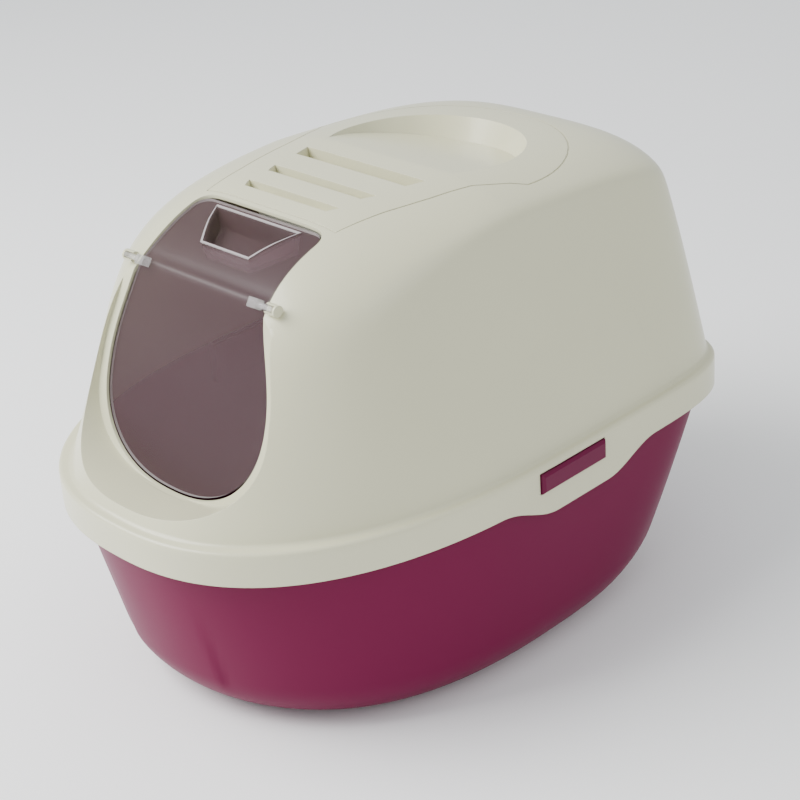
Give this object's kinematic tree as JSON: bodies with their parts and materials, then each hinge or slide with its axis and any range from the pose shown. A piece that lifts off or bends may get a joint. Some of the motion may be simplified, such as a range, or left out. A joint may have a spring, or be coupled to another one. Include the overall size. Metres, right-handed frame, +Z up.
{
  "type": "cat litter box with hood",
  "caption": "Deep litter tray with a lift-off hood, a see-saw swing door on side pins, press latches in the hood's skirt and a charcoal filter under the slotted roof.",
  "frame": {"origin": "on the floor, under the middle of the tray", "axes": "+Z up, the door faces -Y, +X to the right seen from the front"},
  "size_m": [0.4064, 0.54, 0.3904],
  "materials": {
    "tray_plastic": "satin magenta plastic",
    "hood_plastic": "satin cream plastic",
    "door_plastic": "smoky see-through plastic",
    "pin_plastic": "milky see-through plastic",
    "latch_plastic": "satin magenta plastic",
    "filter_plastic": "plain cream plastic",
    "charcoal": "black fibre mat"
  },
  "bodies": {
    "tray": {"base_tray": "tray_plastic"},
    "hood": {"hood": "hood_plastic", "filter_cassette": "filter_plastic", "filter_pad": "charcoal"},
    "door": {"door_flap": "door_plastic", "hinge_pin_right": "pin_plastic", "hinge_pin_left": "pin_plastic"},
    "right_latch": {"latch_right": "latch_plastic"},
    "left_latch": {"latch_left": "latch_plastic"}
  },
  "joints": [
    {"name": "hood_lift", "type": "slide", "parent": "tray", "child": "hood", "axis": [0, 0, 1], "range_m": [0, 0.25]},
    {"name": "door_swing", "type": "hinge", "parent": "hood", "child": "door", "pos_m": [0, -0.16092, 0.35161], "axis": [1, 0, 0], "range_deg": [-35, 50]},
    {"name": "press_right_latch", "type": "slide", "parent": "hood", "child": "right_latch", "axis": [-1, 0, 0], "range_m": [0, 0.003], "stiffness_N_per_m": 2000, "springref_m": -0.002},
    {"name": "press_left_latch", "type": "slide", "parent": "hood", "child": "left_latch", "axis": [1, 0, 0], "range_m": [0, 0.003], "stiffness_N_per_m": 2000, "springref_m": -0.002}
  ]
}
